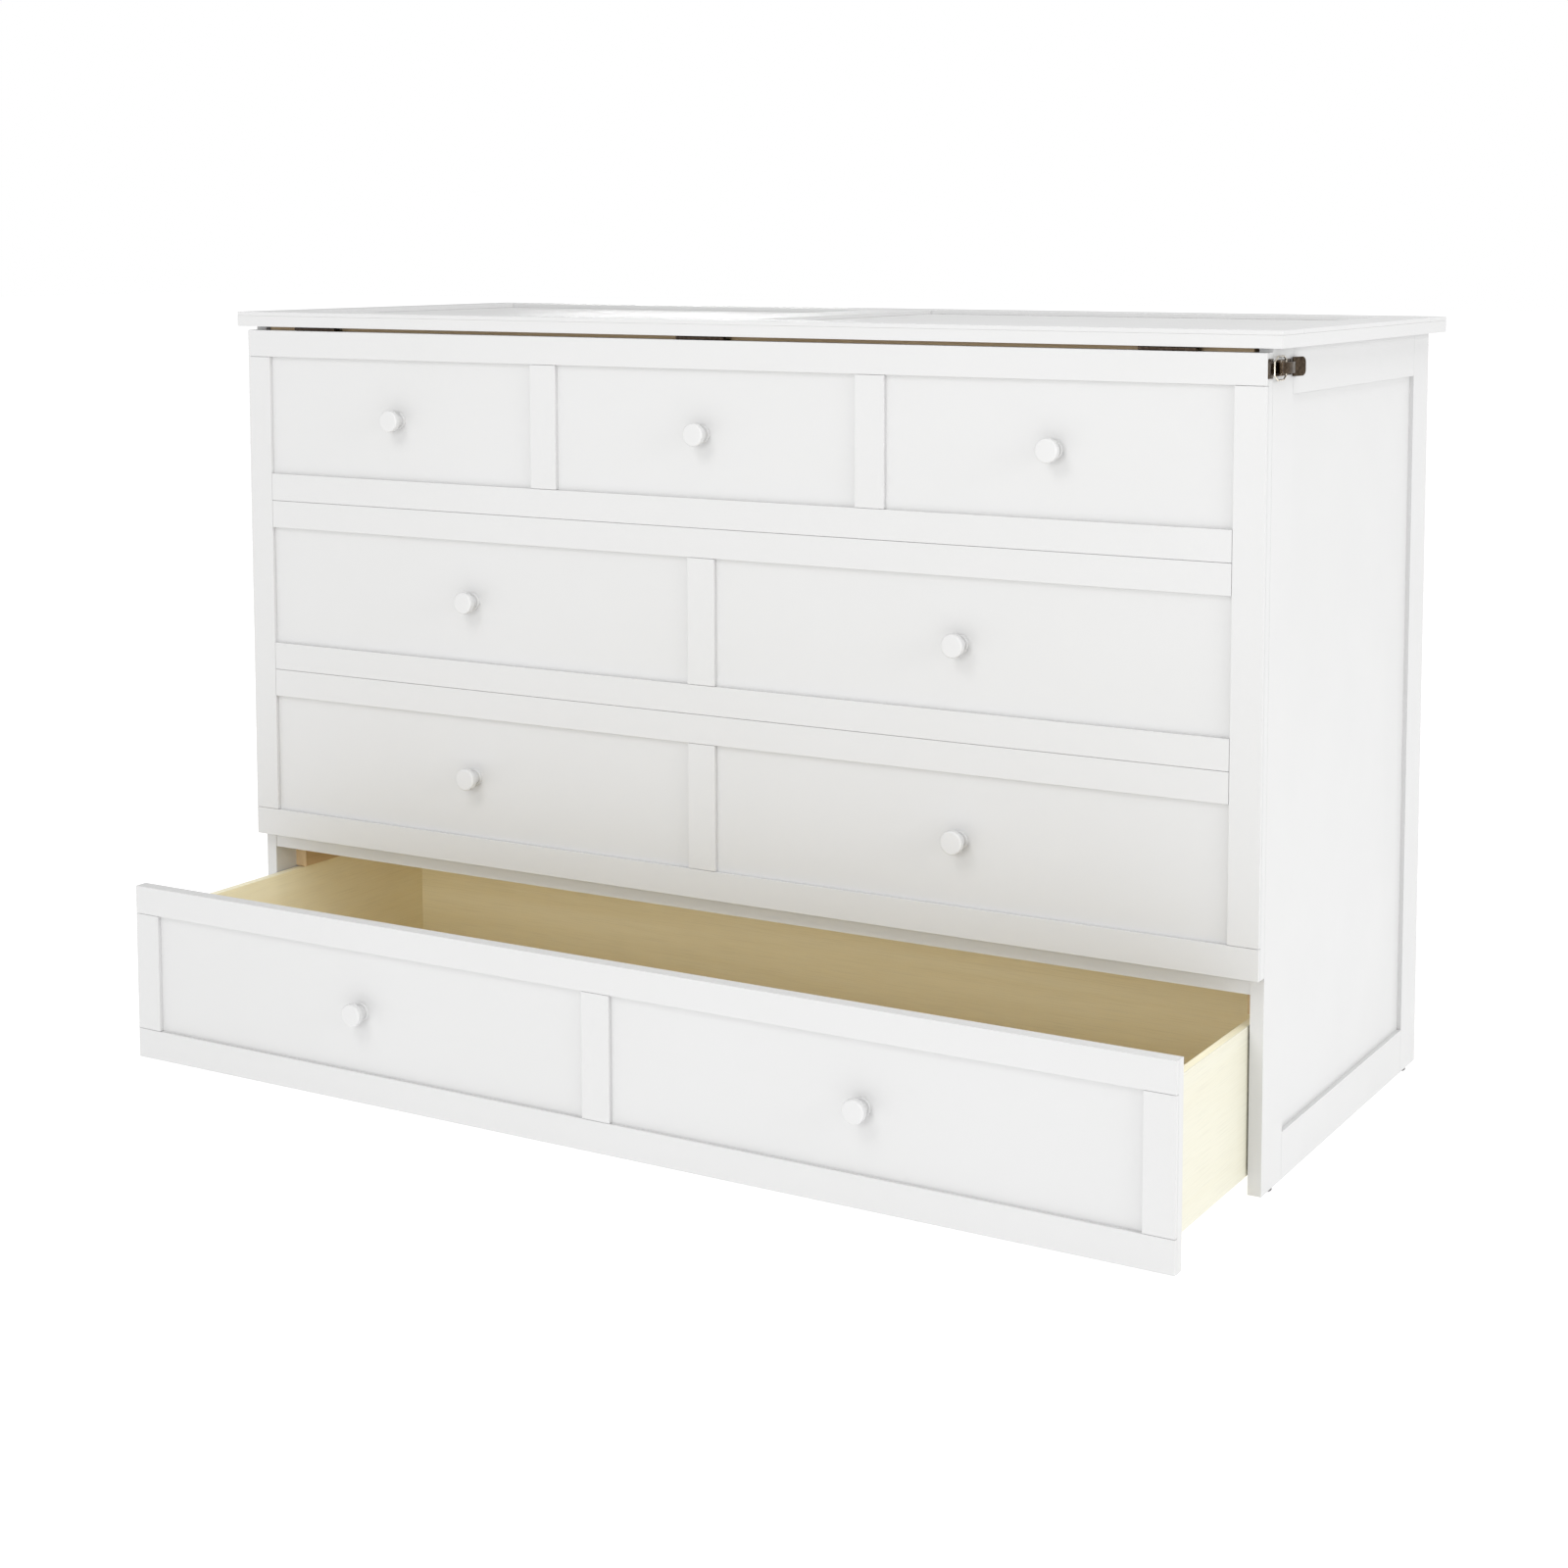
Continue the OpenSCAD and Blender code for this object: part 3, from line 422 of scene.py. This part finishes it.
def finish_nodes():
    """Gives every CAD node its slot's material, clean shading and rounded edges."""
    slots = {part["node"]: part["material_slot"] for part in frame["record"]["subparts"]}
    shading = shading_group()
    for name, thing in frame["nodes"].items():
        slot = slots[name]
        thing.data.materials.clear()
        thing.data.materials.append(slot_material(slot, grain_axis(name)))
        clean = thing.modifiers.new("clean_shading", "NODES")
        clean.node_group = shading
        if slot in EDGE_ROUNDS:
            flat = thing.modifiers.new("join_flats", "DECIMATE")
            flat.decimate_type = "DISSOLVE"
            flat.angle_limit = FLAT_ANGLE
            rounding = thing.modifiers.new("edge_round", "BEVEL")
            rounding.width = EDGE_ROUNDS[slot]
            rounding.segments = 2
            rounding.limit_method = "ANGLE"
            rounding.angle_limit = EDGE_ANGLE
            rounding.harden_normals = True
            rounding.use_clamp_overlap = True


# ---------- mattress ----------

SECTIONS = ["mattress_front_section", "mattress_middle_section", "mattress_rear_section"]
CORNER_ROUND = 42 * MM
EDGE_ROUND = 13 * MM
# How far the core stays inside the section's box, and the gap that the swollen cover leaves to it
CORE_SHRINK = 5 * MM
CLEARANCE = 0.3 * MM
VOXEL = 13 * MM
# The farthest that a point of the cover may move
SWELL = 11 * MM
CLOTH_FRAMES = 14
PRESSURE = 0.1
STIFFNESS = 60
BENDING = 4
STITCH_PITCH = 112 * MM
STITCH_HALF_WIDTH = 8 * MM
STITCH_DEPTH = 6.5 * MM
STITCH_MARGIN = 26 * MM
PIPING = 3.6 * MM
PIPING_STEP = 20 * MM
PIPING_NEIGHBOURS = 6
# The depth of a rounded edge's middle below the two faces, as a part of its radius
ROUND_DEPTH = 0.29
ARC_STEPS = 8
# The strip of cover between two sections: half width, part of the length, thickness, rise and waves
FLAP_HALF_WIDTH = 30 * MM
FLAP_LENGTH = 0.94
FLAP_THICKNESS = 1.2 * MM
FLAP_LIFT = 0.4 * MM
FLAP_CROWN = 1.6 * MM
FLAP_WAVE = 0.5 * MM
FLAP_ROWS = 24
FLAP_COLUMNS = 90


def link(name, mesh):
    thing = bpy.data.objects.new(name, mesh)
    bpy.context.scene.collection.objects.link(thing)
    return thing


def applied(thing):
    """The thing's mesh with its modifiers applied, as the thing's own mesh."""
    graph = bpy.context.evaluated_depsgraph_get()
    mesh = bpy.data.meshes.new_from_object(thing.evaluated_get(graph))
    mesh.name = thing.name
    thing.modifiers.clear()
    thing.data = mesh
    return mesh


def foam_core(name, low, high):
    """A block of foam with round corners and soft edges, as an even grid of small faces."""
    grid = bmesh.new()
    bmesh.ops.create_cube(grid, size=1)
    for corner in grid.verts:
        corner.co = Vector((a + (b - a) * (c + 0.5) for a, b, c in zip(low, high, corner.co)))
    depth_edges = [e for e in grid.edges if abs(e.verts[0].co.y - e.verts[1].co.y) > VOXEL]
    bmesh.ops.bevel(grid, geom=depth_edges, offset=CORNER_ROUND, segments=8, profile=0.5, affect="EDGES")
    rims = [e for e in grid.edges if abs(e.verts[0].co.y - e.verts[1].co.y) < VOXEL and len(e.link_faces) == 2
            and e.calc_face_angle() > 1]
    bmesh.ops.bevel(grid, geom=rims, offset=EDGE_ROUND, segments=4, profile=0.5, affect="EDGES")
    mesh = bpy.data.meshes.new(name)
    grid.to_mesh(mesh)
    grid.free()
    core = link(name, mesh)
    remesh = core.modifiers.new("even_grid", "REMESH")
    remesh.mode = "VOXEL"
    remesh.voxel_size = VOXEL
    applied(core)
    return core


def swell(core):
    """Blows the cover up a little from inside, as foam presses it, with gravity off."""
    cloth = core.modifiers.new("cover", "CLOTH")
    cloth.settings.quality = 3
    cloth.settings.use_pressure = True
    cloth.settings.uniform_pressure_force = PRESSURE
    cloth.settings.tension_stiffness = STIFFNESS
    cloth.settings.compression_stiffness = STIFFNESS
    cloth.settings.bending_stiffness = BENDING
    cloth.settings.effector_weights.gravity = 0
    for step in range(1, CLOTH_FRAMES + 1):
        bpy.context.scene.frame_set(step)
    applied(core)
    bpy.context.scene.frame_set(1)


def points_of(mesh):
    """Where each point of a mesh is, as copies that stay when it moves."""
    return [v.co.copy() for v in mesh.vertices]


def cap_movement(mesh, rest, low, high):
    """Keeps each point near its place at rest and inside the room that the section has."""
    for vertex, home in zip(mesh.vertices, rest):
        move = vertex.co - home
        if move.length > SWELL:
            move *= SWELL / move.length
        vertex.co = [min(max(c, a), b) for c, a, b in zip(home + move, low, high)]


def stitch_distance(x, z):
    """Distance from a point of a face to the nearest line of the diamond quilting."""
    best = STITCH_PITCH
    for across in ((x + z) / math.sqrt(2), (x - z) / math.sqrt(2)):
        best = min(best, abs((across / STITCH_PITCH + 0.5) % 1 - 0.5) * STITCH_PITCH)
    return best


def quilt(mesh, low, high):
    """Presses stitched lines into both large faces; they fade out towards the piping."""
    facings = [vertex.normal.y for vertex in mesh.vertices]
    for vertex, outward in zip(mesh.vertices, facings):
        facing = max(0.0, abs(outward) - 0.6) / 0.4
        x, z = vertex.co.x, vertex.co.z
        inside = min(x - low[0], high[0] - x, z - low[2], high[2] - z)
        fade = min(1.0, max(0.0, (inside - STITCH_MARGIN) / STITCH_MARGIN)) * facing
        near = math.exp(-(stitch_distance(x, z) / STITCH_HALF_WIDTH) ** 2)
        vertex.co.y -= math.copysign(STITCH_DEPTH * near * fade, outward)


def rounded_rectangle(low, high, radius, step):
    """Points round a rectangle of the XZ plane with round corners."""
    points = []
    centres = [(high[0] - radius, high[2] - radius, 0), (low[0] + radius, high[2] - radius, 90),
               (low[0] + radius, low[2] + radius, 180), (high[0] - radius, low[2] + radius, 270)]
    for i, (x, z, start) in enumerate(centres):
        arc = [math.radians(start + 90 * k / ARC_STEPS) for k in range(ARC_STEPS + 1)]
        points += [(x + radius * math.cos(a), z + radius * math.sin(a)) for a in arc]
        after = centres[(i + 1) % 4]
        turn = math.radians(after[2])
        goal = (after[0] + radius * math.cos(turn), after[1] + radius * math.sin(turn))
        count = int(math.dist(points[-1], goal) / step)
        here = points[-1]
        points += [tuple(a + (b - a) * k / count for a, b in zip(here, goal)) for k in range(1, count)]
    return points


def tube(name, points, radius):
    """The mesh of a round cord along a closed row of points."""
    curve = bpy.data.curves.new(name, "CURVE")
    curve.dimensions = "3D"
    curve.bevel_depth = radius
    curve.bevel_resolution = 3
    spline = curve.splines.new("POLY")
    spline.points.add(len(points) - 1)
    for point, where in zip(spline.points, points):
        point.co = (*where, 1)
    spline.use_cyclic_u = True
    thing = link(name, curve)
    graph = bpy.context.evaluated_depsgraph_get()
    mesh = bpy.data.meshes.new_from_object(thing.evaluated_get(graph))
    bpy.data.objects.remove(thing)
    return mesh


def piping_paths(rest, moved, low, high):
    """The two rims of a section, carried along with the swollen cover."""
    tree = KDTree(len(rest))
    for i, home in enumerate(rest):
        tree.insert(home, i)
    tree.balance()
    paths = []
    inset = CORE_SHRINK + ROUND_DEPTH * EDGE_ROUND
    inner_low, inner_high = [c + inset for c in low], [c - inset for c in high]
    for y in (inner_low[1], inner_high[1]):
        path = []
        for x, z in rounded_rectangle(inner_low, inner_high, CORNER_ROUND, PIPING_STEP):
            near = tree.find_n((x, y, z), PIPING_NEIGHBOURS)
            move = sum((moved[i] - rest[i] for _, i, _ in near), Vector()) / len(near)
            path.append((x + move.x, y + move.y, z + move.z))
        paths.append(path)
    return paths


def join_meshes(name, meshes, materials):
    """One mesh of several, each with its own material slot, shaded smooth."""
    whole = bmesh.new()
    for slot, mesh in enumerate(meshes):
        first = len(whole.faces)
        whole.from_mesh(mesh)
        whole.faces.ensure_lookup_table()
        for face in whole.faces[first:]:
            face.material_index = slot
            face.smooth = True
    result = bpy.data.meshes.new(name)
    whole.to_mesh(result)
    whole.free()
    for material in materials:
        result.materials.append(material)
    return result


def mattress_section(node, cover, trim):
    """A quilted, piped cover over a foam core, in place of one plain block."""
    low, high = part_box(node)
    room_low, room_high = [c + CLEARANCE for c in low], [c - CLEARANCE for c in high]
    core_low, core_high = [c + CORE_SHRINK for c in low], [c - CORE_SHRINK for c in high]
    core = foam_core(node + "_cover", core_low, core_high)
    rest = points_of(core.data)
    swell(core)
    cap_movement(core.data, rest, room_low, room_high)
    paths = piping_paths(rest, points_of(core.data), room_low, room_high)
    finer = core.modifiers.new("finer", "SUBSURF")
    finer.levels = finer.render_levels = 1
    applied(core)
    quilt(core.data, low, high)
    rims = [tube(f"{node}_piping_{i}", path, PIPING) for i, path in enumerate(paths)]
    core.data = join_meshes(node + "_cover", [core.data, *rims], [cover, trim, trim])
    core.data.name = core.name
    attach(core, "cabinet")
    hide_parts(node)


def fold_flap(front, rear, cover):
    """The strip of cover that hinges two sections together along their tops."""
    low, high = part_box(front)
    middle = (high.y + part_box(rear)[0].y) / 2
    width = high.x - low.x
    length = FLAP_LENGTH * width
    start = low.x + (width - length) / 2
    top = high.z + FLAP_LIFT
    grid = bmesh.new()
    verts = []
    for i in range(FLAP_ROWS + 1):
        t = 2 * i / FLAP_ROWS - 1
        crown = FLAP_CROWN * math.cos(t * math.pi / 2) ** 0.5 if abs(t) < 1 else 0
        row = []
        for k in range(FLAP_COLUMNS + 1):
            wave = FLAP_WAVE * math.sin(k * 0.9 + 2 * t) * (1 - t * t)
            row.append(grid.verts.new((start + length * k / FLAP_COLUMNS, middle + FLAP_HALF_WIDTH * t,
                                       top + crown + wave)))
        verts.append(row)
    for i in range(FLAP_ROWS):
        for k in range(FLAP_COLUMNS):
            grid.faces.new((verts[i][k], verts[i][k + 1], verts[i + 1][k + 1], verts[i + 1][k]))
    mesh = bpy.data.meshes.new("mattress_fold_flap")
    grid.normal_update()
    grid.to_mesh(mesh)
    grid.free()
    flap = link("mattress_fold_flap", mesh)
    mesh.materials.append(cover)
    for face in mesh.polygons:
        face.use_smooth = True
    thickness = flap.modifiers.new("thickness", "SOLIDIFY")
    thickness.thickness = FLAP_THICKNESS
    thickness.offset = 1
    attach(flap, "cabinet")


def add_mattress():
    """Three folded sections; a strip joins the front and the middle one along their tops."""
    cover = slot_material("mattress_fabric", "x")
    trim = knit("mattress_piping", (0.50, 0.50, 0.49), (0.60, 0.60, 0.59), 0.0014)
    for node in SECTIONS:
        mattress_section(node, cover, trim)
    fold_flap(SECTIONS[0], SECTIONS[1], cover)


add_camera()
add_studio()
finish_nodes()
add_mattress()
